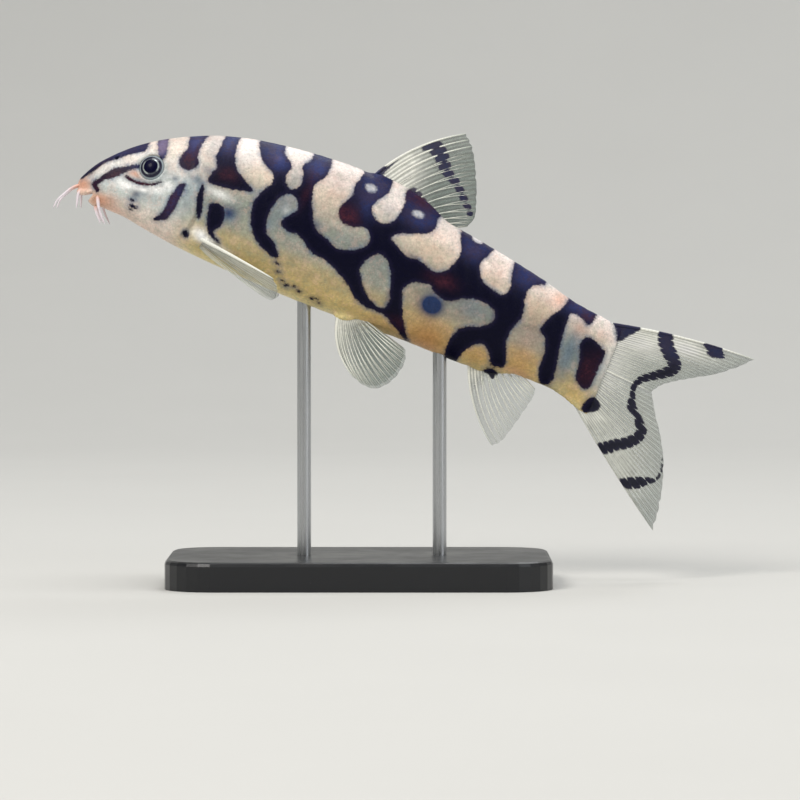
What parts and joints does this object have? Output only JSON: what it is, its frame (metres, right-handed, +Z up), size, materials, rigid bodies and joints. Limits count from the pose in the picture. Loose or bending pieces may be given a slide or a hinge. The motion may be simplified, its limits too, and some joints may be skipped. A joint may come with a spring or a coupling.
{
  "type": "yoyo loach model",
  "caption": "Life-size yoyo loach with spread fins and barbels, swimming nose up, held over a flat base by short upright rods.",
  "frame": {"origin": "on the floor, in the middle of the model's box: under the flat base and half way between the barbels' front and the tail fin's tip", "axes": "+X runs from the snout to the tail, +Z is up, and the fish's left side faces -Y"},
  "size_m": [0.1212, 0.04, 0.0775],
  "materials": {
    "skin": "moist skin with dark netted bands over pale cream",
    "fin": "clear membrane between pale rays, with dark bands",
    "eye": "wet, clear cornea over a dark iris",
    "barbel": "soft, pale and moist",
    "base": "fine satin, slightly rounded edges",
    "rod": "drawn bright rod"
  },
  "bodies": {
    "root": {"head": "skin", "trunk": "skin", "tail": "skin", "eye_left": "eye", "eye_right": "eye", "dorsal_fin": "fin", "anal_fin": "fin", "tail_fin_upper": "fin", "tail_fin_lower": "fin", "pelvic_fin_left": "fin", "pelvic_fin_right": "fin", "pectoral_fin_left": "fin", "pectoral_fin_right": "fin", "barbel_snout_front_left": "barbel", "barbel_snout_front_right": "barbel", "barbel_snout_side_left": "barbel", "barbel_snout_side_right": "barbel", "barbel_mouth_corner_left": "barbel", "barbel_mouth_corner_right": "barbel", "barbel_chin_left": "barbel", "barbel_chin_right": "barbel", "stand_base": "base", "stand_rod_front": "rod", "stand_rod_rear": "rod"}
  },
  "joints": []
}
